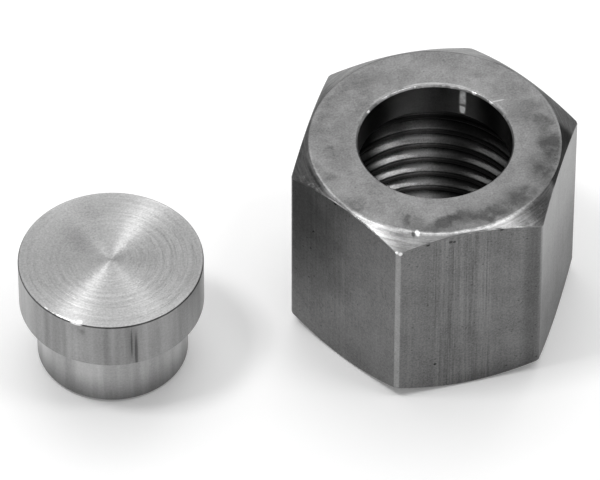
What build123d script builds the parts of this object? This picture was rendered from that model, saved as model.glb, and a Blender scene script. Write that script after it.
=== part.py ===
from build123d import *
import math
import os

# Female cap fitting for a face sealed tube joint, in millimetres, +Z up.
# It is a hexagonal nut with a bore through its crown, and a turned plug that drops into
# the nut from below. The two stand side by side: the nut on its open threaded mouth, and
# the plug upside down on its nose, with the sealing face on top.
# The origin is the centre of the nut's mouth, on the table.
# The thread bore is modelled at the diameter of the thread's crests.

# Hexagonal nut
hex_flats = 17.46
nut_height = 15.0
corner_radius = 0.3
crown_circle = 17.1
crown_angle = 30.0

# Stepped hole through the nut, from the mouth upwards
thread_bore = 12.9
mouth_chamfer = 0.45
lip_thickness = 2.5
lip_chamfer = 0.1
edge_break = 0.12

# Turned plug
nose_diameter = 10.3
nose_length = 4.9
nose_clearance = 0.08
nose_chamfer = 0.25
neck_radius = 0.2
flange_thickness = 3.8
flange_clearance = 0.15
flange_break = 0.1

# Where the plug's axis stands, seen from the nut's axis
plug_x = -22.47
plug_y = 0.85

# Sizes worked out from those above
corner_reach = hex_flats / 2 / math.cos(math.pi / 6)
crown_radius = crown_circle / 2
crown_drop = (corner_reach - crown_radius) * math.tan(math.radians(crown_angle))
shoulder_height = nut_height - lip_thickness
thread_radius = thread_bore / 2
nose_radius = nose_diameter / 2
crown_bore_radius = nose_radius + nose_clearance
flange_radius = thread_radius - flange_clearance
plug_height = nose_length + flange_thickness


# Hexagonal nut
with BuildPart() as cap_nut:
    with BuildSketch():
        RegularPolygon(radius=hex_flats / 2, side_count=6, major_radius=False)
    extrude(amount=nut_height)
    fillet(cap_nut.edges().filter_by(Axis.Z), radius=corner_radius)

    # Both ends turned to a cone, which cuts every corner off along an arc on each flat
    with BuildSketch(Plane.XZ):
        with BuildLine():
            Polyline(
                (0, 0),
                (crown_radius, 0),
                (corner_reach, crown_drop),
                (corner_reach, nut_height - crown_drop),
                (crown_radius, nut_height),
                (0, nut_height),
                close=True,
            )
        make_face()
    revolve(axis=Axis.Z, mode=Mode.INTERSECT)

    # Chamfered mouth, thread bore, square shoulder, and the smaller bore through the crown
    with BuildSketch(Plane.XZ):
        with BuildLine():
            Polyline(
                (0, 0),
                (thread_radius + mouth_chamfer, 0),
                (thread_radius, mouth_chamfer),
                (thread_radius, shoulder_height),
                (crown_bore_radius + lip_chamfer, shoulder_height),
                (crown_bore_radius, shoulder_height + lip_chamfer),
                (crown_bore_radius, nut_height - edge_break),
                (crown_bore_radius + edge_break, nut_height),
                (0, nut_height),
                close=True,
            )
        make_face()
    revolve(axis=Axis.Z, mode=Mode.SUBTRACT)


# Turned plug on its nose. The flange passes the thread, and the nose fits the crown's bore.
plug_axis = Axis((plug_x, plug_y, 0), (0, 0, 1))
plug_section = Plane(origin=(plug_x, plug_y, 0), x_dir=(1, 0, 0), z_dir=(0, -1, 0))

with BuildPart() as sealing_plug:
    with BuildSketch(plug_section):
        with BuildLine():
            nose_side = Line((nose_radius, nose_chamfer), (nose_radius, nose_length - neck_radius))
            neck = RadiusArc(nose_side @ 1, (nose_radius + neck_radius, nose_length), neck_radius)
            Polyline(
                neck @ 1,
                (flange_radius - flange_break, nose_length),
                (flange_radius, nose_length + flange_break),
                (flange_radius, plug_height - flange_break),
                (flange_radius - flange_break, plug_height),
                (0, plug_height),
                (0, 0),
                (nose_radius - nose_chamfer, 0),
                nose_side @ 0,
            )
        make_face()
    revolve(axis=plug_axis)


os.makedirs("parts", exist_ok=True)
cap_nut.part.label = "cap_nut"
export_step(cap_nut.part, "parts/cap_nut.step")
sealing_plug.part.label = "sealing_plug"
export_step(sealing_plug.part, "parts/sealing_plug.step")
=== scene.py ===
"""Dresses the female cap fitting: a threaded hexagonal cap nut and the turned plug beside it."""

import math

import bmesh
import bpy
from mathutils import Matrix, Vector


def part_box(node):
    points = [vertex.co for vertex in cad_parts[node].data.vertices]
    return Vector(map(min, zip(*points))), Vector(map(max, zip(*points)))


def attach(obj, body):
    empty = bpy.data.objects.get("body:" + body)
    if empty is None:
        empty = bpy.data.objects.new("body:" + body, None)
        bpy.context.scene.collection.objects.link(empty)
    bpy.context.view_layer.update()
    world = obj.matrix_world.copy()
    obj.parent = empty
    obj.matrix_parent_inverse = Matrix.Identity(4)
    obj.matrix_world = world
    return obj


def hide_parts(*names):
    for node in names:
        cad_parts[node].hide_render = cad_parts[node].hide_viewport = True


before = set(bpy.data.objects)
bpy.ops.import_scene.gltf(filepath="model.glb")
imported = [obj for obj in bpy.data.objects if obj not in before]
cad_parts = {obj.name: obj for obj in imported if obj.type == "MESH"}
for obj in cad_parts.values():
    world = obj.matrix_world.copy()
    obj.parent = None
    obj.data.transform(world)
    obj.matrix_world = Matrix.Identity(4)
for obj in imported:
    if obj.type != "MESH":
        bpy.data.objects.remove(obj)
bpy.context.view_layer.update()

bl_info = {
    "name": "Female Cap Fitting",
    "version": (1, 0, 0),
    "blender": (4, 5, 0),
    "location": "View3D > Sidebar > Cap Fitting",
    "description": "Builds the cap nut, its sealing plug and a plain studio",
    "category": "Object",
}

NUT_LOW, NUT_HIGH = (Vector(corner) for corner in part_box("cap_nut"))
PLUG_LOW, PLUG_HIGH = (Vector(corner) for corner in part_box("sealing_plug"))
MM = 0.001

# Steps of the spins
NUT_STEPS = 240
PLUG_STEPS = 288
THREAD_STEPS = 180
THREAD_TURNS = 11

# The cutter that taps the thread, in millimetres
THREAD_START = -0.11
LEAD_SLOPE = 0.82
TAP_SKIN = 0.005
TAP_ABOVE = 0.6
TAP_BELOW = 0.5
TURN_JOIN = 0.0005
CREST_ROUND = 0.11
ROOT_ROUND = 0.045

# The nut's blank and the edges' roundings, in millimetres
SPARE = 0.25
CORE_ABOVE = 0.35
RIM_ROUND = 0.08
BORE_ROUND = 0.03
EDGE_ROUND = 0.05
SLIVER = 0.0002

# Angles in degrees above which an edge stays sharp
NUT_SHARP = 28.0
PLUG_SHARP = 32.0

# Turns brushing marks from upright to ring-wise
QUARTER_TURN = 0.25

# The nut's finishes, in the order of its material slots
CROWN, FLAT, BORE, THREAD, CONE, EDGE = range(6)

# The camera, fitted to the photograph: degrees, and millimetres along its own axes
CAMERA_TURN = 15.159
CAMERA_TILT = 46.652
CAMERA_ROLL = 0.051
CAMERA_RIGHT = -9.110
CAMERA_UP = 3.615
CAMERA_BACK = 516.885
FOCAL_LENGTH = 450.0

# The floor, in metres: its half width, and how far it lies below the pieces
FLOOR_REACH = 3.0
FLOOR_DROP = 0.00002

# Marks of use on the nut, in millimetres from its axis: where, half size, how strong
STAINS = (((6.8, 1.5, 15.0), (1.8, 1.5, 1.0), 0.5), ((7.6, -0.1, 15.0), (0.8, 1.2, 1.0), 0.7),
          ((7.4, -2.5, 15.0), (1.1, 2.0, 1.0), 1.0), ((6.1, -4.4, 15.0), (1.4, 1.9, 1.0), 0.6),
          ((4.0, -6.5, 15.0), (2.2, 1.4, 1.0), 0.6), ((1.7, -7.7, 15.0), (2.2, 0.9, 1.0), 0.7),
          ((-1.3, -7.2, 15.0), (1.1, 0.8, 1.0), 0.8), ((-3.7, -6.6, 15.0), (1.0, 0.8, 1.0), 0.9),
          ((-1.2, -7.7, 15.0), (4.6, 1.3, 1.0), 0.9), ((0.5, -6.8, 15.0), (5.2, 1.9, 1.0), 0.2),
          ((-6.7, -4.4, 15.0), (1.0, 0.8, 1.0), 0.7), ((-7.8, -1.2, 15.0), (0.6, 0.6, 1.0), 0.7),
          ((-7.1, 1.05, 15.0), (0.45, 0.45, 1.0), 0.7), ((-2.3, 6.5, 15.0), (2.2, 1.2, 1.0), 0.35))
# Painted glints on the bore's rim: where, half size
SPARKS = (((-3.61, 3.91, 15.0), 0.19), ((3.85, 3.75, 15.0), 0.24), ((4.76, 2.62, 15.0), 0.26))
# The nick in the crown's rim (a painted highlight with painted shade on its left), the pits in the flats,
# and the painted highlights on the front corner
NICK = (-3.45, -7.87, 14.97)
PITS = (((-1.38, -8.73, 14.38), 0.17, 0.7), ((-1.12, -8.73, 14.33), 0.14, 0.7),
        ((-7.98, -3.62, 14.78), 0.20, 0.8),
        ((-2.96, -8.73, 14.54), 0.20, 0.8), ((2.17, -8.73, 14.66), 0.20, 0.8),
        ((-2.31, -8.73, 2.58), 0.14, 0.8), ((-2.9, -8.73, 8.6), 0.12, 0.4))
TIPS = ((-5.12, -8.62, 14.22), (-4.86, -8.74, 14.12))
TIP_SIZE = (0.19, 0.19, 0.17)


def length(name, description, default):
    """A size that a user may change, kept in metres."""
    return bpy.props.FloatProperty(name=name, description=description, default=default, min=0.0,
                                   precision=5, subtype="DISTANCE", unit="LENGTH")


def colour(name, description, default):
    """A linear colour that a user may change."""
    return bpy.props.FloatVectorProperty(name=name, description=description, default=default, size=3,
                                         min=0.0, max=1.0, subtype="COLOR")


def strength(name, description, default, **unit):
    """A strength of light that a user may change."""
    return bpy.props.FloatProperty(name=name, description=description, default=default, min=0.0, **unit)


class CapNutSizes(bpy.types.PropertyGroup):
    """Sizes of the hexagonal cap nut."""
    across_flats: length("Across flats", "Wrench size of the hexagon", NUT_HIGH.y - NUT_LOW.y)
    height: length("Height", "From the threaded mouth to the crown", NUT_HIGH.z - NUT_LOW.z)
    corner_reach: length("Corner reach", "From the axis to the flattened upright edges", 0.01001)
    crown_circle: length("Crown circle", "Diameter where the end face turns into the corner cone", 0.0171)
    crown_angle: bpy.props.FloatProperty(name="Crown angle", description="Slope of the corner cones",
                                         default=math.radians(30.0), subtype="ANGLE", unit="ROTATION")
    crown_bore: length("Crown bore", "Diameter of the hole in the crown", 0.01046)
    thread_bore: length("Thread bore", "Diameter at the thread's crests", 0.0129)
    thread_root: length("Thread root", "Diameter at the bottom of the thread's grooves", 0.0142875)
    thread_pitch: length("Thread pitch", "Rise of the thread in one turn", 0.0254 / 18)
    lead_end: length("Tap lead end", "Height where the thread has run out", 0.01135)
    lip_thickness: length("Lip thickness", "Thickness of the crown over the thread", 0.0025)
    mouth_chamfer: length("Mouth chamfer", "Chamfer at the threaded mouth", 0.00045)
    lip_chamfer: length("Lip chamfer", "Chamfer under the crown bore", 0.0001)
    edge_break: length("Edge break", "Small chamfer at the top of the crown bore", 0.00012)


class SealingPlugSizes(bpy.types.PropertyGroup):
    """Sizes of the turned plug."""
    height: length("Height", "From the nose to the sealing face", PLUG_HIGH.z - PLUG_LOW.z)
    flange_diameter: length("Flange diameter", "Diameter of the sealing flange", PLUG_HIGH.x - PLUG_LOW.x)
    flange_thickness: length("Flange thickness", "Thickness of the sealing flange", 0.0038)
    nose_diameter: length("Nose diameter", "Diameter of the nose that fills the crown bore", 0.0103)
    nose_chamfer: length("Nose chamfer", "Chamfer at the end of the nose", 0.00025)
    neck_radius: length("Neck radius", "Fillet where the nose meets the flange", 0.0002)
    flange_break: length("Flange edge", "Rounding of the flange's two rims", 0.0001)


class SteelFinish(bpy.types.PropertyGroup):
    """Colours of the two steels where they were worked differently."""
    crown: colour("Turned crown", "End faces of the nut", (0.22, 0.22, 0.22))
    cone: colour("Corner cones", "The turned corners of the hexagon", (0.20, 0.20, 0.20))
    # The edges are given painted highlights along the bore's rim and over the flats' arcs
    edge: colour("Worn edges", "Rubbed rim of the bore and arcs over the flats", (0.60, 0.60, 0.60))
    drawn: colour("Drawn flats", "The six wrench flats, left as drawn bar", (0.160, 0.160, 0.160))
    bore: colour("Bore", "Wall of the crown bore and the land over the thread", (0.10, 0.10, 0.10))
    thread: colour("Thread", "Cut thread inside the nut", (0.40, 0.40, 0.40))
    plug_face: colour("Sealing face", "Faced end of the plug", (0.47, 0.47, 0.47))
    plug_side: colour("Plug side", "Turned sides of the plug", (0.272, 0.272, 0.272))


class StudioSettings(bpy.types.PropertyGroup):
    """The plain studio round the object."""
    floor: colour("Floor", "Pale floor under the object", (0.96, 0.96, 0.96))
    floor_glow: strength("Floor glow", "Lift that keeps the floor pale to the eye", 0.11)
    surround: strength("Surround", "Level of the even light all round", 0.36)
    left_lamp: strength("Left lamp", "Softbox high on the left", 1.3, subtype="POWER", unit="POWER")
    right_lamp: strength("Right lamp", "Small softbox high on the right", 0.6,
                         subtype="POWER", unit="POWER")
    top_lamp: strength("Top lamp", "Wide softbox overhead", 1.3, subtype="POWER", unit="POWER")
    back_lamp: strength("Back lamp", "Wide softbox behind the object", 1.3, subtype="POWER", unit="POWER")
    side_lamp: strength("Side lamp", "Low softbox on the right", 0.35, subtype="POWER", unit="POWER")


# Shader expressions

class Wire:
    """A shader socket that can be used in Python expressions."""

    def __init__(self, net, socket):
        self.net = net
        self.socket = socket

    def math(self, operation, *others, clamp=False):
        values = {index: other for index, other in enumerate((self,) + others)}
        return self.net.add("ShaderNodeMath", {"operation": operation, "use_clamp": clamp}, values)

    def __add__(self, other):
        return self.math("ADD", other)

    def __radd__(self, other):
        return self.math("ADD", other)

    def __sub__(self, other):
        return self.math("SUBTRACT", other)

    def __rsub__(self, other):
        return self.math("MULTIPLY_ADD", -1.0, other)

    def __mul__(self, other):
        return self.math("MULTIPLY", other)

    def __rmul__(self, other):
        return self.math("MULTIPLY", other)

    def clamp(self):
        return self.math("ADD", 0.0, clamp=True)


class Net:
    """The node tree of one finish."""

    def __init__(self, tree):
        self.tree = tree
        tree.nodes.clear()

    def add(self, kind, settings=None, values=None, output=0):
        """Adds any node: first its settings, then the values or links of its sockets."""
        node = self.tree.nodes.new(kind)
        for name, value in (settings or {}).items():
            setattr(node, name, value)
        for name, value in (values or {}).items():
            socket = node.inputs[name]
            if isinstance(value, Wire):
                self.tree.links.new(value.socket, socket)
            elif socket.type == "RGBA" and len(value) == 3:
                socket.default_value = (*value, 1.0)
            else:
                socket.default_value = value
        return Wire(self, node.outputs[output]) if node.outputs else None

    def place(self, centre=(0.0, 0.0)):
        """Object coordinates in millimetres, measured from a piece's own axis."""
        point = self.add("ShaderNodeTexCoord", output="Object")
        return self.add("ShaderNodeMapping", {"vector_type": "POINT"},
                        {"Vector": point, "Location": (-centre[0] / MM, -centre[1] / MM, 0.0),
                         "Scale": (1 / MM, 1 / MM, 1 / MM)})

    def parts(self, vector):
        """The three numbers of a vector."""
        split = self.add("ShaderNodeSeparateXYZ", values={"Vector": vector})
        node = split.socket.node
        return tuple(Wire(self, node.outputs[axis]) for axis in range(3))

    def squeeze(self, vector, scale):
        """Scales a vector along each axis."""
        return self.add("ShaderNodeVectorMath", {"operation": "MULTIPLY"}, {0: vector, 1: scale})

    def radius(self, vector):
        """Distance from the upright axis."""
        flat = self.squeeze(vector, (1.0, 1.0, 0.0))
        return self.add("ShaderNodeVectorMath", {"operation": "LENGTH"}, {0: flat}, output="Value")

    def noise(self, vector, scale=1.0, detail=2.0, roughness=0.5):
        """Soft random patches."""
        return self.add("ShaderNodeTexNoise", {"noise_dimensions": "3D"},
                        {"Vector": vector, "Scale": scale, "Detail": detail, "Roughness": roughness},
                        output="Fac")

    def grooves(self, distance, scale, detail=2.0):
        """Fine lines that follow one distance, such as a tool's feed marks."""
        return self.add("ShaderNodeTexNoise", {"noise_dimensions": "1D"},
                        {"W": distance, "Scale": scale, "Detail": detail, "Roughness": 0.6}, output="Fac")

    def wander(self, vector, scale, amount):
        """Shifts a position unevenly, so that a mark drawn there loses its even outline."""
        drift = self.add("ShaderNodeTexNoise", {"noise_dimensions": "3D"},
                         {"Vector": vector, "Scale": scale, "Detail": 3.0}, output="Color")
        drift = self.add("ShaderNodeVectorMath", {"operation": "MULTIPLY_ADD"},
                         {0: drift, 1: (amount, amount, 0.0), 2: (-amount / 2, -amount / 2, 0.0)})
        return self.add("ShaderNodeVectorMath", {"operation": "ADD"}, {0: vector, 1: drift})

    def span(self, value, low, high):
        """0 below low, 1 above high, smooth between."""
        return self.add("ShaderNodeMapRange", {"interpolation_type": "SMOOTHSTEP"},
                        {"Value": value, "From Min": low, "From Max": high, "To Min": 0.0, "To Max": 1.0})

    def spot(self, vector, centre, size, core=0.45):
        """1 round a named point, fading from the core to 0 over the spot's half sizes."""
        near = self.add("ShaderNodeVectorMath", {"operation": "SUBTRACT"}, {0: vector, 1: centre})
        near = self.squeeze(near, tuple(1.0 / each for each in size))
        far = self.add("ShaderNodeVectorMath", {"operation": "LENGTH"}, {0: near}, output="Value")
        return 1.0 - self.span(far, core, 1.0)

    def marks(self, vector, rows):
        """Several spots added up, each with its centre, half sizes, core and strength."""
        total = 0.0
        for centre, size, core, weight in rows:
            total = self.spot(vector, centre, size, core) * weight + total
        return total

    def tint(self, base, factor):
        """Darkens or lightens a colour by a number."""
        grey = self.add("ShaderNodeCombineXYZ", values={0: factor, 1: factor, 2: factor})
        return self.add("ShaderNodeVectorMath", {"operation": "MULTIPLY"}, {0: grey, 1: tuple(base)})

    def tool_arcs(self, vector, around, across):
        """Marks that run round the axis: long along the turn, fine from ring to ring."""
        flat = self.squeeze(vector, (1.0, 1.0, 0.0))
        heading = self.add("ShaderNodeVectorMath", {"operation": "NORMALIZE"}, {0: flat})
        heading = self.squeeze(heading, (around, around, 0.0))
        depth = self.add("ShaderNodeCombineXYZ", values={2: self.radius(vector) * across})
        return self.add("ShaderNodeVectorMath", {"operation": "ADD"}, {0: heading, 1: depth})

    def bump(self, height, depth):
        """Relief of a depth in millimetres."""
        return self.add("ShaderNodeBump", values={"Height": height, "Distance": depth * MM,
                                                  "Strength": 1.0})

    def steel(self, base, roughness, normal, anisotropic=0.0, rotation=0.0):
        """Finishes the tree with a metal surface."""
        shader = self.add("ShaderNodeBsdfPrincipled", values={
            "Base Color": base, "Roughness": roughness, "Normal": normal, "Metallic": 1.0,
            "Anisotropic": anisotropic, "Anisotropic Rotation": rotation})
        self.add("ShaderNodeOutputMaterial", values={"Surface": shader})


def new_finish(name):
    """An empty material and the net that its finish is written in."""
    material = bpy.data.materials.new(name)
    material.use_nodes = True
    return material, Net(material.node_tree)


def fine_grain(net, point):
    """The pepper of tiny light and dark dots that worked steel shows close up."""
    return net.noise(point, 7.0, 2.0, 0.7)


def pores(net, point):
    """Scattered dark pinholes."""
    return net.span(net.noise(point, 3.4, 1.0), 0.72, 0.77)


def rim_highlight(net, point, away):
    """Painted highlight along the front and left of the line where the end face meets the cones, with the
    nick painted bright.
    """
    line = net.span(away, 8.38, 8.50) * (1.0 - net.span(away, 8.58, 8.82))
    front = net.spot(point, (-0.6, -9.4, 15.0), (8.4, 5.2, 3.0), 0.5)
    side = net.spot(point, (-8.4, -3.0, 15.0), (3.0, 5.5, 3.0), 0.5)
    broken = net.span(net.noise(point, 1.4, 4.0, 0.75), 0.36, 0.62)
    nick = net.spot(point, NICK, (0.19, 0.33, 0.4))
    return 1.7 * line * (0.85 * front + 0.42 * side) * (0.15 + 0.85 * broken) + 3.0 * nick


def tip_glints(net, point):
    """Two painted highlights where the front corner meets its cone."""
    return 3.2 * (net.spot(point, TIPS[0], TIP_SIZE) + net.spot(point, TIPS[1], TIP_SIZE))


def turned_crown(base):
    """End face: fine feed rings, a mottled film, soft stains, a bright scratch, and painted highlights on
    the crown behind the bore and along the outer rim.
    """
    material, net = new_finish("turned_crown")
    point = net.place()
    away = net.radius(point)
    feed = net.grooves(away, 5.0, 3.0)
    cloud = net.noise(point, 0.45, 4.0, 0.6)
    mottle = net.noise(point, 1.6, 3.0, 0.6)
    uneven = net.wander(point, 0.8, 2.6)
    old = net.marks(uneven, [(centre, size, 0.1, weight) for centre, size, weight in STAINS])
    film = net.span(away, 6.0, 7.6) * net.spot(point, (5.4, -4.2, 15.0), (7.0, 7.5, 3.0), 0.3)
    patchy = net.span(net.noise(point, 0.9, 4.0, 0.65), 0.30, 0.70)
    stain = (old * (0.50 + 0.50 * patchy) + film * (0.12 + 0.40 * patchy)).clamp()
    scratch = net.spot(point, (5.15, 2.56, 15.0), (0.60, 0.09, 1.0)) * 0.9
    # Painted highlight on the crown just outside the back of the bore's rim
    lip = net.marks(point, (
        ((2.2, 5.2, 15.0), (3.9, 2.2, 1.0), 0.4, 1),
        ((-3.2, 4.6, 15.0), (3.2, 2.2, 1.0), 0.4, 0.4),
        ((4.9, 1.9, 15.0), (1.2, 2.7, 1.0), 0.3, 0.35)))
    lip = lip * net.span(away, 5.38, 5.44) * (1.0 - net.span(away, 5.48, 5.62)) * (0.2 + patchy)
    # Painted highlight on a thin line along the right of the outer rim
    rim = net.span(away, 8.34, 8.46) * net.spot(point, (8.0, -2.4, 15.0), (2.4, 5.6, 3.0), 0.5) * 0.28
    ring = (net.span(away, 7.2, 7.9) * (1.0 - net.span(away, 8.1, 8.45))
            * net.spot(point, (-5.8, 5.6, 15.0), (4.2, 4.2, 3.0), 0.3))
    shade = (0.55 + 0.34 * net.span(cloud, 0.3, 0.7) + 0.56 * mottle - 0.16 * ring + lip + rim
             + 1.05 * (fine_grain(net, point) - 0.5) + rim_highlight(net, point, away) + scratch)
    stain = (0.62 * stain + 0.22 * pores(net, point)).clamp()
    net.steel(net.tint(base, shade * (1.0 - stain)), 0.36 + 0.10 * cloud + 0.12 * stain,
              net.bump(feed, 0.004), anisotropic=0.45, rotation=QUARTER_TURN)
    return material


def corner_cone(base):
    """The six turned corners: coarse, scratched tool rings, with painted highlights strongest on the front
    one, and the painted highlight along the rim.
    """
    material, net = new_finish("corner_cone")
    point = net.place()
    away = net.radius(point)
    rings = net.noise(net.tool_arcs(point, 3.0, 6.0), 1.0, 3.0, 0.6)
    torn = net.span(net.noise(net.tool_arcs(point, 7.0, 9.0), 1.0, 3.0, 0.7), 0.35, 0.70)
    cloud = net.noise(point, 0.7, 3.0)
    # Painted highlights and reflections on the cones, strongest on the front corner
    bright = net.marks(point, (
        ((-2.5, -8.5, 14.8), (3.1, 1.3, 1.6), 0.45, 0.84),
        ((3.3, -8.4, 14.7), (1.7, 0.9, 1.2), 0.45, 0.46),
        ((-8.7, -2.9, 14.7), (0.9, 1.0, 1.2), 0.45, 0.5),
        ((0.6, 8.6, 14.7), (8.4, 4.2, 2.5), 0.6, 0.58),
        ((7.6, 4.6, 14.7), (2.0, 2.4, 1.5), 0.3, 0.45),
        ((-5.6, -7.7, 14.6), (1.3, 1.3, 1.3), 0.45, 0.26)))
    dark = net.marks(point, (
        ((8.0, -3.7, 14.9), (2.2, 3.7, 1.2), 0.75, 0.8),
        ((5.6, -7.4, 14.4), (2.3, 2.6, 2.4), 0.1, 0.37),
        ((-9.3, -1.2, 14.6), (1.8, 3.0, 2.4), 0.1, 0.22)))
    specks = net.span(net.noise(point, 2.6, 3.0, 0.7), 0.50, 0.66)
    bright = bright + 0.8 * specks * net.spot(point, (-9.2, -1.9, 14.45), (1.1, 2.1, 0.8), 0.3)
    bright = bright + 0.5 * specks * net.spot(point, (4.7, -8.1, 14.5), (1.5, 1.4, 1.2), 0.3)
    line = net.span(away, 8.66, 8.76) * (1.0 - net.span(away, 8.82, 8.94))
    dark = dark + 0.40 * line * net.spot(point, (-8.6, -2.0, 14.9), (2.0, 3.2, 2.0))
    # The nick's left side is darkened as painted shade, and the front corner's tip gets painted highlights
    left = (NICK[0] - 0.30, NICK[1] - 0.02, NICK[2])
    shade = 0.30 + 0.70 * rings + 0.42 * torn + 0.2 * cloud + 0.6 * (fine_grain(net, point) - 0.5)
    shade = shade * (1.0 + bright - dark) + rim_highlight(net, point, away)
    shade = shade * (1.0 - 0.65 * net.spot(point, left, (0.17, 0.28, 0.3))) + tip_glints(net, point)
    net.steel(net.tint(base, shade), 0.27 + 0.12 * cloud, net.bump(rings, 0.006),
              anisotropic=0.4, rotation=QUARTER_TURN)
    return material


def edge_wear_and_highlight(base):
    """Broken edges, with painted highlights at the back of the bore's rim and along two of the arcs, and
    painted glints.
    """
    material, net = new_finish("edge_wear_and_highlight")
    point = net.place()
    patch = net.span(net.noise(point, 1.3, 3.0, 0.6), 0.35, 0.62)
    glint = net.span(net.noise(point, 3.4, 1.0), 0.60, 0.70)
    # Painted highlights at the back of the bore's rim and on the arcs over the front and left flats
    painted_sheen = net.marks(point, (
        ((0.6, 5.6, 15.0), (5.3, 2.3, 1.0), 0.45, 1),
        ((4.9, 1.9, 15.0), (1.0, 2.5, 1.0), 0.45, 0.5),
        ((2.1, -8.73, 14.9), (3.0, 0.5, 0.8), 0.45, 1),
        ((-6.6, -6.3, 14.9), (2.0, 2.2, 0.8), 0.45, 1),
        ((-8.8, -2.8, 14.6), (0.9, 1.1, 0.8), 0.45, 0.6),
        ((-8.0, -3.9, 14.9), (0.9, 1.2, 0.8), 0.45, 0.7)))
    dark = net.marks(point, (
        ((8.0, -3.7, 14.9), (2.2, 3.7, 1.2), 0.75, 0.87),
        ((-9.3, -1.6, 14.6), (1.5, 2.6, 1.4), 0.4, 0.55)))
    spark = net.marks(point, [(centre, (size, size, 0.5), 0.45, 1) for centre, size in SPARKS])
    shade = 0.30 + 0.12 * patch + painted_sheen * (0.15 + 0.55 * patch + 0.8 * glint) + 1.2 * spark
    shade = shade * (1.0 - dark) + 0.5 * tip_glints(net, point)
    net.steel(net.tint(base, shade), 0.44 - 0.1 * patch, net.bump(net.noise(point, 5.0, 2.0), 0.012))
    return material


def drawn_flat(base):
    """Wrench flats: long upright drawing marks in bands, a few pits, a darker patch of scale, painted
    highlights on the corners, a painted reflection on the right flat and painted shade at the front flat's
    foot.
    """
    material, net = new_finish("drawn_flat")
    point = net.place()
    fine = net.noise(net.squeeze(point, (6.0, 6.0, 0.10)), 1.0, 3.0, 0.6)
    blotch = net.span(net.noise(point, 0.55, 4.0, 0.6), 0.32, 0.68)
    broad = net.noise(net.squeeze(point, (0.5, 0.5, 0.03)), 1.0, 2.0)
    band = net.marks(point, (
        ((-0.5, -8.7, 7.5), (2.3, 1.6, 30.0), 0.7, 1),
        ((7.56, -4.37, 7.5), (2.6, 3.6, 30.0), 0.7, 0.5),
        ((-8.0, -3.6, 11.0), (2.6, 3.4, 14.0), 0.3, 0.3)))
    band = (band + 0.22 + 0.5 * net.span(broad, 0.55, 0.75)).clamp()
    scale = net.noise(point, 0.22, 3.0)
    uneven = net.wander(point, 0.45, 3.2)
    dark = net.spot(uneven, (-9.7, -1.5, 13.0), (4.6, 7.0, 13.5), 0.1) * 0.62
    dark = dark + net.marks(point, (
        ((4.5, -8.73, 7.5), (0.95, 0.6, 18.0), 0.3, 0.32),
        # Painted shade along the foot of the front flat
        ((2.4, -8.73, -0.4), (5.2, 0.6, 2.6), 0.1, 0.42)))
    dark = dark + 0.40 * pores(net, point)
    dark = dark + net.marks(point, [(centre, (size, size, size), 0.45, weight)
                                    for centre, size, weight in PITS])
    _, _, level = net.parts(point)
    # Painted highlight on the upright corners, strongest on the front one
    corner = net.span(net.radius(point), 9.95, 10.0) * (
        0.10 + 0.62 * net.spot(point, (-4.9, -8.7, 7.5), (1.6, 1.6, 30.0)))
    # Painted reflection on the right flat, brighter towards the top and a little darker at its foot
    outward = net.add("ShaderNodeVectorMath", {"operation": "DOT_PRODUCT"},
                      {0: point, 1: (math.cos(math.radians(330)), math.sin(math.radians(330)), 0.0)},
                      output="Value")
    painted_sheen = net.span(outward, 8.60, 8.70) * (0.96 * net.span(level, 2.5, 14.0) - 0.11)
    shade = (0.74 + 0.16 * broad + 1.7 * (fine - 0.5) * band + 0.22 * scale + 0.15 * blotch
             + 0.16 * (net.noise(point, 1.7, 3.0, 0.6) - 0.5)
             + 1.3 * (fine_grain(net, point) - 0.5) + corner * (0.7 + 0.6 * fine) + painted_sheen)
    shade = shade + tip_glints(net, point)
    net.steel(net.tint(base, shade * (1.0 - dark).clamp()), 0.38 + 0.12 * fine,
              net.bump(fine * band, 0.012), anisotropic=0.5)
    return material


def bore_wall(base):
    """Smooth bored wall with one bright upright streak, painted light on its far wall and painted shade
    towards both sides.
    """
    material, net = new_finish("bore_wall")
    point = net.place()
    across, _, height = net.parts(point)
    feed = net.grooves(height, 7.0, 3.0)
    shadow = 1.0 - 0.78 * net.span(across.math("ABSOLUTE"), 3.6, 5.0)
    cloud = net.noise(point, 0.9, 3.0)
    streak = net.spot(point, (3.15, 4.18, 13.9), (0.34, 0.30, 2.4)) * net.span(height, 12.66, 12.78)
    foot = net.spot(point, (3.15, 4.18, 13.05), (0.34, 0.30, 0.4)) * streak
    streak = streak * (1.0 - 0.60 * net.spot(point, (3.15, 4.18, 13.50), (0.5, 0.5, 0.20), 0.2))
    # Painted light on the far wall
    glow = net.marks(point, (
        ((3.4, 4.0, 13.8), (1.9, 1.9, 4.0), 0.1, 1.2),
        ((-0.9, 5.2, 13.8), (2.4, 1.2, 4.0), 0.1, 1.5)))
    shade = (0.6 + 0.5 * cloud + glow + 0.8 * (fine_grain(net, point) - 0.5)
             + 6.0 * streak * (0.5 + net.noise(point, 2.5, 2.0)) + 5.0 * foot)
    net.steel(net.tint(base, shade * shadow), 0.26 + 0.14 * cloud + 0.60 * streak, net.bump(feed, 0.003),
              anisotropic=0.3, rotation=QUARTER_TURN)
    return material


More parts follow.
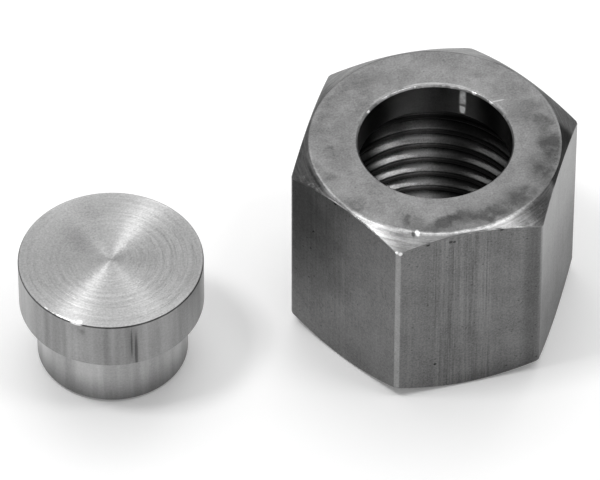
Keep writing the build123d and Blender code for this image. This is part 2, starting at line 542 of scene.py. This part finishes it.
def cut_thread(base, pitch, start):
    """Tapped thread: scraped along the helix, with painted highlights on its upward flanks, painted shade in
    its roots and towards its top, and painted light and shade from side to side.
    """
    material, net = new_finish("cut_thread")
    point = net.place()
    across, along, level = net.parts(point)
    turn = along.math("ARCTAN2", across) * (1.0 / math.tau)
    phase = ((level - start) * (1.0 / pitch) - turn).math("FRACT")
    scrape = net.noise(net.squeeze(point, (0.8, 0.8, 6.0)), 1.0, 3.0)
    cloud = net.noise(point, 0.7, 3.0)
    high = net.span(level, 8.8, 9.8)
    # Painted highlight on the upward flanks and painted shade over the rest of each turn, all dimmer higher
    # up
    flank = (0.13 + 0.87 * net.span(phase, 0.46, 0.74)) * (1.0 - 0.92 * net.span(phase, 0.85, 0.95))
    flank = flank * (1.0 + 0.5 * net.span(phase, 0.70, 0.80) * (1.0 - high)) * (1.0 - 0.45 * high)
    # Painted light and shade from side to side: dark at the left end, brightest a little right of the
    # middle, darker towards the right
    side = (1.0 - 0.72 * net.span(across, 0.4, 3.2)) * (0.06 + 0.94 * net.span(across, -3.1, -1.0))
    side = side * (1.0 + 0.9 * net.span(across, -0.6, 0.5) * (1.0 - net.span(across, 1.2, 2.6)))
    side = side * (1.0 - 0.52 * net.span(across, 2.5, 3.7)) * (1.0 - 0.38 * net.span(across, 4.3, 5.3))
    # Painted shade near the top of the thread
    fading = 1.0 - 0.7 * net.span(level, 10.2, 10.8)
    shade = 0.60 + 0.75 * scrape + 0.2 * cloud + 1.2 * (fine_grain(net, point) - 0.5)
    shade = shade * flank * side * fading
    net.steel(net.tint(base, shade), 0.30 + 0.15 * scrape, net.bump(scrape, 0.006),
              anisotropic=0.3, rotation=QUARTER_TURN)
    return material


def faced_end(base, centre, height, reach):
    """Faced end of the plug: broken tool rings, painted shade that dims parts of its reflection, painted
    highlights on flecks, and a burred rim turned over on one side, painted bright.
    """
    material, net = new_finish("faced_end")
    point = net.place(centre)
    away = net.radius(point)
    feed = net.span(net.grooves(away, 4.0, 3.0), 0.32, 0.68)
    arcs = net.noise(net.tool_arcs(point, 2.2, 4.6), 1.0, 3.0, 0.6)
    flecks = net.span(net.noise(net.tool_arcs(point, 2.6, 8.0), 1.0, 2.0, 0.6), 0.54, 0.70)
    cloud = net.noise(point, 0.5, 3.0)
    calm = net.spot(point, (-2.4, 2.8, height), (6.4, 5.4, 1.0), 0.25)
    # Painted shade that dims parts of the face's reflection
    painted_shade = net.marks(point, (
        ((-1.1, 3.5, height), (2.0, 3.4, 1.0), 0.2, 0.2),
        ((-1.8, 2.2, height), (2.8, 2.4, 1.0), 0.1, 0.12),
        ((0.4, 5.0, height), (2.8, 1.7, 1.0), 0.2, 0.09),
        ((0.3, 0.0, height), (0.9, 0.8, 1.0), 0.1, 0.18),
        ((4.2, 5.0, height), (2.6, 2.0, 1.0), 0.2, 0.12),
        ((2.1, -0.3, height), (1.2, 1.4, 1.0), 0.1, 0.04)))
    # Painted highlights on flecks within the reflection
    lit = flecks * net.marks(point, (
        ((0.6, -2.8, height), (2.1, 2.2, 1.0), 0.3, 0.34),
        ((-3.2, -3.0, height), (2.0, 2.0, 1.0), 0.3, 0.4),
        ((-0.9, -0.7, height), (0.9, 0.7, 1.0), 0.3, 0.5),
        ((2.0, 2.9, height), (1.5, 2.0, 1.0), 0.3, 0.22)))
    # The burred rim on one side, with a painted highlight along it
    burr_highlight = (net.span(away, reach - 0.20, reach - 0.12)
            * net.spot(point, (-4.75, -4.0, height), (1.5, 1.5, 1.0), 0.6)
            * net.span(net.noise(point, 3.2, 2.0), 0.36, 0.56)
            + net.spot(point, (-3.70, -5.06, height), (0.58, 0.34, 0.5), 0.5)
            * net.span(net.noise(point, 3.6, 2.0), 0.28, 0.44))
    shade = (0.68 + (0.14 * feed + 0.36 * arcs) * (1.0 - 0.6 * calm) + 0.10 * calm + 0.17 * cloud
             + 0.16 * (net.noise(point, 1.8, 3.0, 0.6) - 0.5)
             + 0.82 * (fine_grain(net, point) - 0.5) + lit)
    net.steel(net.tint(base, shade * (1.0 - painted_shade) + 1.1 * burr_highlight), 0.44 + 0.05 * cloud,
              net.bump((0.5 * feed + arcs + 0.9 * flecks) * (1.0 - 0.7 * calm), 0.016),
              anisotropic=0.91, rotation=QUARTER_TURN)
    return material


def turned_side(base, centre, height, step):
    """Sides of the plug: soft upright bands, a few dark marks, painted shade on the top rim with a painted
    highlight where it is burred, and painted shade towards the foot.
    """
    material, net = new_finish("turned_side")
    point = net.place(centre)
    _, _, level = net.parts(point)
    feed = net.grooves(level, 5.0, 3.0)
    bands = net.noise(net.squeeze(point, (0.9, 0.9, 0.05)), 1.0, 2.0, 0.5)
    lines = net.noise(net.squeeze(point, (2.6, 2.6, 0.09)), 1.0, 2.0, 0.6)
    cloud = net.noise(point, 0.6, 3.0)
    nose = 1.0 - net.span(level, step - 0.1, step)
    torn = 0.5 + net.noise(point, 4.0, 2.0)
    # Painted highlight on the burred part of the top rim
    rolled_burr_highlight = net.spot(point, (-3.72, -5.1, height - 0.05), (0.56, 0.5, 0.14), 0.5)
    dark = net.marks(point, (
        ((-0.16, -6.3, 7.1), (0.08, 0.4, 2.1), 0.4, 0.3),
        ((0.15, -6.3, 6.0), (0.15, 0.4, 2.6), 0.4, 0.4),
        ((0.0, -6.3, 6.4), (0.40, 0.5, 3.4), 0.2, 0.2),
        ((2.5, -5.8, 6.8), (1.7, 1.7, 5.0), 0.3, 0.12),
        ((0.9, -6.2, 6.8), (1.5, 0.8, 4.0), 0.6, 0.09),
        ((-1.1, -6.2, 6.8), (1.1, 0.8, 4.0), 0.8, 0.19),
        ((-5.4, -3.3, 6.8), (0.35, 0.5, 4.0), 0.3, 0.12),
        ((-4.4, -4.5, 6.8), (0.30, 0.4, 4.0), 0.3, 0.12)))
    # Besides a dark mark: painted shade on the top rim and painted shade growing towards the foot
    dark = (dark + net.spot(point, (-3.35, -5.33, 7.99), (0.26, 0.26, 0.34), 0.1) * 0.34 * torn
            + net.span(level, height - 0.15, height - 0.09) * 0.62 * (1.0 - rolled_burr_highlight)
            + (1.0 - net.span(level, -0.3, 2.8)) * 0.54)
    tone = net.marks(point, (
        ((-3.5, -5.2, 6.2), (0.9, 0.9, 2.4), 0.2, 0.22),
        ((-6.1, -1.6, 6.8), (1.2, 2.6, 3.6), 0.4, 0.16),
        ((4.5, -4.4, 6.8), (1.0, 1.2, 3.6), 0.4, 0.1),
        ((-4.9, -1.2, 3.0), (1.0, 1.6, 3.4), 0.2, 0.28),
        ((3.7, -3.6, 3.0), (1.0, 1.0, 3.4), 0.2, 0.2),
        ((-2.5, -4.5, 3.6), (0.8, 0.8, 3.4), 0.2, 0.26),
        ((-3.3, -4.0, 3.6), (0.8, 0.8, 3.4), 0.2, 0.28),
        ((2.0, -4.8, 3.6), (1.6, 1.2, 3.4), 0.2, -0.12),
        ((0.2, -5.1, 3.6), (1.3, 1.0, 3.4), 0.3, -0.16)))
    shade = (0.55 + 0.32 * net.span(bands, 0.3, 0.7) + 0.50 * lines + 0.08 * feed + 0.12 * cloud
             + 0.60 * (fine_grain(net, point) - 0.5) + 0.36 * nose + tone)
    net.steel(net.tint(base, shade * (1.0 - dark) + 2.4 * rolled_burr_highlight), 0.32 + 0.10 * cloud,
              net.bump(feed, 0.003), anisotropic=0.4, rotation=QUARTER_TURN)
    return material


# Mesh helpers, all in millimetres until a piece is finished

def spun(points, steps):
    """A solid of revolution about the upright axis, from a half section that starts and ends on it."""
    bm = bmesh.new()
    corners = [bm.verts.new((radius, 0.0, height)) for radius, height in points]
    edges = [bm.edges.new(pair) for pair in zip(corners, corners[1:])]
    bmesh.ops.spin(bm, geom=corners + edges, cent=(0, 0, 0), axis=(0, 0, 1), dvec=(0, 0, 0),
                   angle=math.tau, steps=steps, use_merge=True, use_duplicate=False)
    bmesh.ops.remove_doubles(bm, verts=bm.verts, dist=0.0001)
    bmesh.ops.recalc_face_normals(bm, faces=bm.faces)
    return bm


def cut_off(bm, point, normal):
    """Cuts away what lies beyond a plane and closes the cut."""
    cut = bmesh.ops.bisect_plane(bm, geom=bm.verts[:] + bm.edges[:] + bm.faces[:], dist=0.00001,
                                 plane_co=point, plane_no=normal, clear_outer=True)["geom_cut"]
    bmesh.ops.edgeloop_fill(bm, edges=[part for part in cut if isinstance(part, bmesh.types.BMEdge)])


def round_edges(bm, chosen, width, segments):
    """Rounds edges, each to the same width on its two faces."""
    bmesh.ops.bevel(bm, geom=chosen, offset=width, offset_type="OFFSET", segments=segments, profile=0.5,
                    affect="EDGES", clamp_overlap=False, material=-1)


def circle_edges(bm, circles):
    """The edges of whole circles given by radius and height."""
    chosen = []
    for edge in bm.edges:
        for radius, height in circles:
            if all(abs(corner.co.z - height) < 0.003 and
                   abs(math.hypot(corner.co.x, corner.co.y) - radius) < 0.003 for corner in edge.verts):
                chosen.append(edge)
                break
    return chosen


def to_object(bm, name):
    """Turns a bmesh into an object in the scene."""
    mesh = bpy.data.meshes.new(name)
    bmesh.ops.recalc_face_normals(bm, faces=bm.faces)
    bm.to_mesh(mesh)
    bm.free()
    piece = bpy.data.objects.new(name, mesh)
    bpy.context.collection.objects.link(piece)
    return piece


def settle(piece):
    """Applies a piece's modifiers to its mesh."""
    view = bpy.context.evaluated_depsgraph_get()
    view.update()
    mesh = bpy.data.meshes.new_from_object(piece.evaluated_get(view), depsgraph=view)
    piece.modifiers.clear()
    old = piece.data
    piece.data = mesh
    mesh.name = piece.name
    bpy.data.meshes.remove(old)


def clear_slivers(piece):
    """Takes out the edges without length and faces without area that a cut leaves."""
    bm = bmesh.new()
    bm.from_mesh(piece.data)
    bmesh.ops.remove_doubles(bm, verts=bm.verts, dist=SLIVER)
    bmesh.ops.dissolve_degenerate(bm, dist=SLIVER, edges=bm.edges)
    bm.to_mesh(piece.data)
    bm.free()


def polish(piece, centre, sharp_degrees):
    """Gives a finished piece even shading, then scales it to metres at its place."""
    piece.data.shade_smooth()
    piece.data.set_sharp_from_angle(angle=math.radians(sharp_degrees))
    weight = piece.modifiers.new("Even shading", "WEIGHTED_NORMAL")
    weight.mode = "FACE_AREA"
    weight.weight = 50
    weight.keep_sharp = True
    settle(piece)
    piece.data.transform(Matrix.Translation((centre[0], centre[1], 0.0)) @ Matrix.Scale(MM, 4))


# The pieces

class CAPFIT_OT_cap_nut(bpy.types.Operator):
    """Build the hexagonal cap nut with its stepped, threaded hole"""
    bl_idname = "capfit.cap_nut"
    bl_label = "Cap Nut"

    def execute(self, context):
        sizes = context.scene.cap_nut_sizes
        finish = context.scene.cap_steel_finish
        blank = to_object(self.turn_blank(sizes), "hex_cap_nut")
        tap = to_object(self.cut_tap(sizes), "thread_tap")
        cut = blank.modifiers.new("Tapping", "BOOLEAN")
        cut.operation = "DIFFERENCE"
        cut.solver = "MANIFOLD"
        cut.object = tap
        settle(blank)
        clear_slivers(blank)
        bpy.data.meshes.remove(tap.data)
        blank.data.materials.clear()
        for material in (turned_crown(finish.crown), drawn_flat(finish.drawn), bore_wall(finish.bore),
                         cut_thread(finish.thread, sizes.thread_pitch / MM, THREAD_START),
                         corner_cone(finish.cone), edge_wear_and_highlight(finish.edge)):
            blank.data.materials.append(material)
        self.sort_finishes(blank.data, sizes)
        polish(blank, (0.0, 0.0), NUT_SHARP)
        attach(blank, "root")
        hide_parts("cap_nut")
        return {"FINISHED"}

    def sort_finishes(self, mesh, sizes):
        """Gives every face its finish, by how far out it lies and how it leans."""
        land = sizes.lead_end / MM
        crown = sizes.crown_circle / MM / 2
        rim = (sizes.height - sizes.edge_break) / MM - BORE_ROUND
        for face in mesh.polygons:
            reach = math.hypot(face.center.x, face.center.y)
            lean = abs(face.normal.z)
            if reach < 7.3 and 0.05 < face.center.z < land:
                face.material_index = THREAD
            elif reach < 5.4 and face.center.z > rim and lean < 0.97:
                face.material_index = EDGE
            elif reach < 6.5 and lean < 0.9:
                face.material_index = BORE
            elif reach > 8.0 and lean < 0.1:
                face.material_index = FLAT
            elif reach > 8.6 and lean < 0.8:
                face.material_index = EDGE
            elif reach > crown and lean < 0.99:
                face.material_index = CONE
            else:
                face.material_index = CROWN

    def turn_blank(self, sizes):
        """A turned blank with its stepped hole, cut to the hexagon."""
        flats = sizes.across_flats / MM / 2
        height = sizes.height / MM
        crown = sizes.crown_circle / MM / 2
        outside = flats / math.cos(math.radians(30)) + SPARE
        drop = (outside - crown) * math.tan(sizes.crown_angle)
        bore = sizes.crown_bore / MM / 2
        land = sizes.thread_bore / MM / 2
        shoulder = height - sizes.lip_thickness / MM
        lip = sizes.lip_chamfer / MM
        small = sizes.edge_break / MM
        mouth = sizes.mouth_chamfer / MM
        core = sizes.lead_end / MM + CORE_ABOVE
        bm = spun([(0, core), (land, core), (land, shoulder), (bore + lip, shoulder), (bore, shoulder + lip),
                   (bore, height - small), (bore + small, height), (crown, height),
                   (outside, height - drop), (outside, drop), (crown, 0), (land + mouth, 0),
                   (land, mouth), (0, mouth)], NUT_STEPS)
        round_edges(bm, circle_edges(bm, [(crown, height), (crown, 0)]), RIM_ROUND, 2)
        round_edges(bm, circle_edges(bm, [(bore + small, height), (bore, height - small)]), BORE_ROUND, 2)
        for side in range(6):
            for turn, reach in ((0, flats), (30, sizes.corner_reach / MM)):
                angle = math.radians(30 + 60 * side + turn)
                normal = Vector((math.cos(angle), math.sin(angle), 0.0))
                cut_off(bm, normal * reach, normal)
        upright = [edge for edge in bm.edges if abs(edge.verts[0].co.z - edge.verts[1].co.z) > height / 2]
        round_edges(bm, upright, EDGE_ROUND, 2)
        arcs = [edge for edge in bm.edges if len(edge.link_faces) == 2
                and sum(abs(face.normal.z) < 0.2 for face in edge.link_faces) == 1
                and all(abs(corner.co.xy.length) > flats - 0.1 for corner in edge.verts)]
        round_edges(bm, arcs, EDGE_ROUND, 2)
        return bm

    def cut_tap(self, sizes):
        """The solid that a tap sweeps: one pitch of its profile, screwed upwards and closed."""
        pitch = sizes.thread_pitch / MM
        crest = sizes.thread_bore / MM / 2 - TAP_SKIN
        root = sizes.thread_root / MM / 2
        flank = (root - crest) * math.tan(math.radians(30))
        root_half = pitch / 16
        middle = pitch / 2
        start = THREAD_START - middle - pitch
        bm = bmesh.new()
        half = [(0.0, crest), (middle - root_half - flank, crest), (middle - root_half, root)]
        points = half + [(pitch - along, radius) for along, radius in reversed(half)]
        corners = [bm.verts.new((radius, 0.0, start + along)) for along, radius in points]
        for pair in zip(corners, corners[1:]):
            bm.edges.new(pair)
        for pair, rounding in ((corners[1:5:3], CREST_ROUND), (corners[2:4], ROOT_ROUND)):
            bmesh.ops.bevel(bm, geom=pair, offset=rounding, offset_type="OFFSET", segments=3,
                            profile=0.5, affect="VERTICES", material=-1)
        bmesh.ops.spin(bm, geom=bm.verts[:] + bm.edges[:], cent=(0, 0, 0), axis=(0, 0, 1),
                       dvec=(0, 0, pitch / THREAD_STEPS), angle=math.tau, steps=THREAD_STEPS,
                       use_merge=False, use_duplicate=False)
        one_turn = bm.verts[:] + bm.edges[:] + bm.faces[:]
        for turn in range(1, THREAD_TURNS):
            copy = bmesh.ops.duplicate(bm, geom=one_turn)["geom"]
            bmesh.ops.translate(bm, verts=[part for part in copy if isinstance(part, bmesh.types.BMVert)],
                                vec=(0, 0, turn * pitch))
        bmesh.ops.remove_doubles(bm, verts=bm.verts, dist=TURN_JOIN)
        lead = sizes.lead_end / MM
        for corner in bm.verts:
            reach = math.hypot(corner.co.x, corner.co.y)
            allowed = crest + max(0.0, lead - corner.co.z) * LEAD_SLOPE
            if reach > allowed:
                corner.co.xy *= allowed / reach
        cut_off(bm, (0, 0, lead + TAP_ABOVE), (0, 0, 1))
        cut_off(bm, (0, 0, -TAP_BELOW), (0, 0, -1))
        return bm


class CAPFIT_OT_sealing_plug(bpy.types.Operator):
    """Build the turned sealing plug that stands beside the nut"""
    bl_idname = "capfit.sealing_plug"
    bl_label = "Sealing Plug"

    def execute(self, context):
        sizes = context.scene.sealing_plug_sizes
        finish = context.scene.cap_steel_finish
        centre = ((PLUG_LOW.x + PLUG_HIGH.x) / 2, (PLUG_LOW.y + PLUG_HIGH.y) / 2)
        flange = sizes.flange_diameter / MM / 2
        nose = sizes.nose_diameter / MM / 2
        height = sizes.height / MM
        step = height - sizes.flange_thickness / MM
        chamfer = sizes.nose_chamfer / MM
        rim = sizes.flange_break / MM
        neck = sizes.neck_radius / MM
        bm = spun([(0, 0), (nose - chamfer, 0), (nose, chamfer), (nose, step), (flange, step),
                   (flange, height), (flange * 0.5, height), (0, height)], PLUG_STEPS)
        round_edges(bm, circle_edges(bm, [(nose, step)]), neck, 3)
        round_edges(bm, circle_edges(bm, [(flange, step), (flange, height)]), rim, 3)
        round_edges(bm, circle_edges(bm, [(nose - chamfer, 0), (nose, chamfer)]), EDGE_ROUND, 2)
        piece = to_object(bm, "turned_plug")
        for material in (faced_end(finish.plug_face, centre, height, flange),
                         turned_side(finish.plug_side, centre, height, step)):
            piece.data.materials.append(material)
        for face in piece.data.polygons:
            face.material_index = 0 if face.normal.z > 0.9 else 1
        polish(piece, centre, PLUG_SHARP)
        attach(piece, "root")
        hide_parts("sealing_plug")
        return {"FINISHED"}


class CAPFIT_OT_stage(bpy.types.Operator):
    """Lay the pale floor, set the soft lamps and stand the camera where the photograph was taken"""
    bl_idname = "capfit.stage"
    bl_label = "Studio"

    def execute(self, context):
        studio = context.scene.cap_studio
        self.lay_floor(studio)
        self.light(studio, context.scene)
        self.stand_camera(context.scene)
        context.scene.view_settings.view_transform = "Standard"
        return {"FINISHED"}

    def lay_floor(self, studio):
        """A pale floor that takes the shadow, and glows a little to the eye and in the metal."""
        bm = bmesh.new()
        bmesh.ops.create_grid(bm, x_segments=1, y_segments=1, size=FLOOR_REACH)
        bmesh.ops.translate(bm, verts=bm.verts, vec=(0.0, 0.0, -FLOOR_DROP))
        floor = to_object(bm, "studio_floor")
        material, net = new_finish("pale_floor")
        paint = net.add("ShaderNodeBsdfDiffuse", values={"Color": tuple(studio.floor)})
        seen = net.add("ShaderNodeLightPath", output="Is Camera Ray")
        rays = seen.socket.node.outputs
        for kind in ("Is Glossy Ray", "Is Transmission Ray"):
            seen = seen + Wire(net, rays[kind])
        seen = seen.clamp()
        glow = net.add("ShaderNodeEmission", values={"Strength": seen * studio.floor_glow})
        both = net.add("ShaderNodeAddShader", values={0: paint, 1: glow})
        net.add("ShaderNodeOutputMaterial", values={"Surface": both})
        floor.data.materials.append(material)

    def light(self, studio, scene):
        """An even surround and five square softboxes that look at the pieces."""
        world = bpy.data.worlds.new("soft_surround")
        world.use_nodes = True
        net = Net(world.node_tree)
        level = studio.surround
        glow = net.add("ShaderNodeBackground", values={"Color": (level, level, level), "Strength": 1.0})
        net.add("ShaderNodeOutputWorld", values={"Surface": glow})
        scene.world = world
        middle = Vector((-0.009, 0.0, 0.006))
        for name, place, size, power in (
                ("left_softbox", (-0.305, 0.025, 0.63), 0.14, studio.left_lamp),
                ("right_softbox", (0.265, -0.17, 0.625), 0.15, studio.right_lamp),
                ("top_softbox", (0.02, 0.14, 0.69), 0.60, studio.top_lamp),
                ("back_softbox", (0.14, 0.53, 0.59), 0.70, studio.back_lamp),
                ("side_softbox", (0.60, 0.12, 0.22), 0.40, studio.side_lamp)):
            lamp = bpy.data.lights.new(name, "AREA")
            lamp.shape = "SQUARE"
            lamp.size = size
            lamp.energy = power
            holder = bpy.data.objects.new(name, lamp)
            holder.location = place
            holder.rotation_euler = (middle - Vector(place)).to_track_quat("-Z", "Y").to_euler()
            scene.collection.objects.link(holder)

    def stand_camera(self, scene):
        """The long lens that the photograph's edges were fitted to."""
        turn = math.radians(CAMERA_TURN)
        tilt = math.radians(CAMERA_TILT)
        right = Vector((math.cos(turn), -math.sin(turn), 0.0))
        ahead = Vector((math.sin(turn) * math.cos(tilt), math.cos(turn) * math.cos(tilt), -math.sin(tilt)))
        up = right.cross(ahead)
        place = (CAMERA_RIGHT * right + CAMERA_UP * up - CAMERA_BACK * ahead) * MM
        lens = bpy.data.cameras.new("photo_camera")
        lens.sensor_fit = "HORIZONTAL"
        lens.sensor_width = 36.0
        lens.lens = FOCAL_LENGTH
        camera = bpy.data.objects.new("photo_camera", lens)
        axes = Matrix((right, up, -ahead)).transposed().to_4x4()
        roll = Matrix.Rotation(math.radians(CAMERA_ROLL), 4, "Z")
        camera.matrix_world = Matrix.Translation(place) @ axes @ roll
        scene.collection.objects.link(camera)
        scene.camera = camera


class CAPFIT_PT_panel(bpy.types.Panel):
    """Lists the fitting's sizes and its builders"""
    bl_idname = "CAPFIT_PT_panel"
    bl_label = "Female Cap Fitting"
    bl_space_type = "VIEW_3D"
    bl_region_type = "UI"
    bl_category = "Cap Fitting"

    def draw(self, context):
        scene = context.scene
        for group, builder in ((scene.cap_nut_sizes, CAPFIT_OT_cap_nut),
                               (scene.sealing_plug_sizes, CAPFIT_OT_sealing_plug),
                               (scene.cap_steel_finish, None),
                               (scene.cap_studio, CAPFIT_OT_stage)):
            box = self.layout.box()
            for name in group.__annotations__:
                box.prop(group, name)
            if builder:
                box.operator(builder.bl_idname)


CLASSES = (CapNutSizes, SealingPlugSizes, SteelFinish, StudioSettings, CAPFIT_OT_cap_nut,
           CAPFIT_OT_sealing_plug, CAPFIT_OT_stage, CAPFIT_PT_panel)
GROUPS = {"cap_nut_sizes": CapNutSizes, "sealing_plug_sizes": SealingPlugSizes,
          "cap_steel_finish": SteelFinish, "cap_studio": StudioSettings}


def register():
    for each in CLASSES:
        bpy.utils.register_class(each)
    for name, group in GROUPS.items():
        setattr(bpy.types.Scene, name, bpy.props.PointerProperty(type=group))


def unregister():
    for name in GROUPS:
        delattr(bpy.types.Scene, name)
    for each in reversed(CLASSES):
        bpy.utils.unregister_class(each)


def main():
    register()
    bpy.ops.capfit.stage()
    bpy.ops.capfit.cap_nut()
    bpy.ops.capfit.sealing_plug()


if __name__ == "__main__":
    main()
